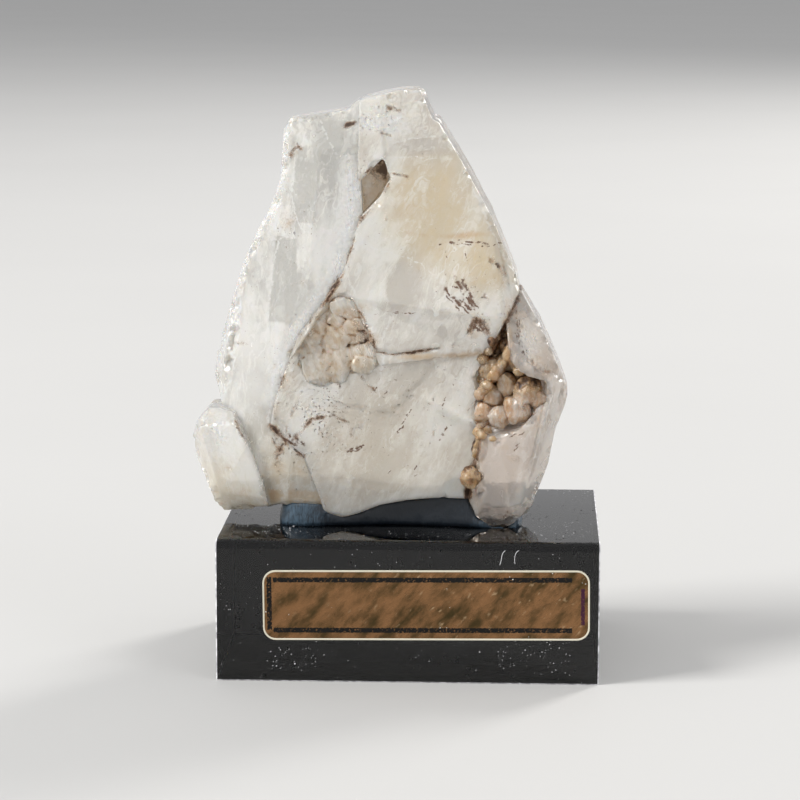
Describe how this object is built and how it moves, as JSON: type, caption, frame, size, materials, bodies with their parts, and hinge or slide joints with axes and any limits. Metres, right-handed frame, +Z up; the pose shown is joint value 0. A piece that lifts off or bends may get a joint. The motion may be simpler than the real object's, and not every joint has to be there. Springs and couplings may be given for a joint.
{
  "type": "selenite crystal specimen on a display block",
  "caption": "Milky selenite crystal cluster with iron-stained seams and a druse pocket, bedded in putty on a dark see-through acrylic block with a blank foil label.",
  "frame": {"origin": "centre of the display block's underside", "axes": "+Z up, +X to the right as seen from the label side, +Y from the label side to the back"},
  "size_m": [0.0548, 0.0385, 0.0777],
  "materials": {
    "acrylic": "polished, dark and see-through",
    "foil": "creased metallic foil with a printed black border",
    "putty": "waxy, finger-smoothed",
    "selenite": "milky, translucent, vitreous to pearly, iron-stained along seams",
    "iron_stained_selenite": "translucent, coated with rusty iron oxide"
  },
  "bodies": {
    "root": {"acrylic_block": "acrylic", "foil_label": "foil", "mounting_putty": "putty", "main_blade": "selenite", "left_blade": "selenite", "right_prism": "selenite", "lower_left_prism": "selenite", "druse_crystal_1": "iron_stained_selenite", "druse_crystal_2": "iron_stained_selenite", "druse_crystal_3": "iron_stained_selenite", "druse_crystal_4": "iron_stained_selenite", "druse_crystal_5": "iron_stained_selenite", "druse_crystal_6": "iron_stained_selenite", "druse_crystal_7": "iron_stained_selenite", "druse_crystal_8": "iron_stained_selenite", "druse_crystal_9": "iron_stained_selenite", "druse_crystal_10": "iron_stained_selenite", "druse_crystal_11": "iron_stained_selenite", "druse_crystal_12": "iron_stained_selenite"}
  },
  "joints": []
}
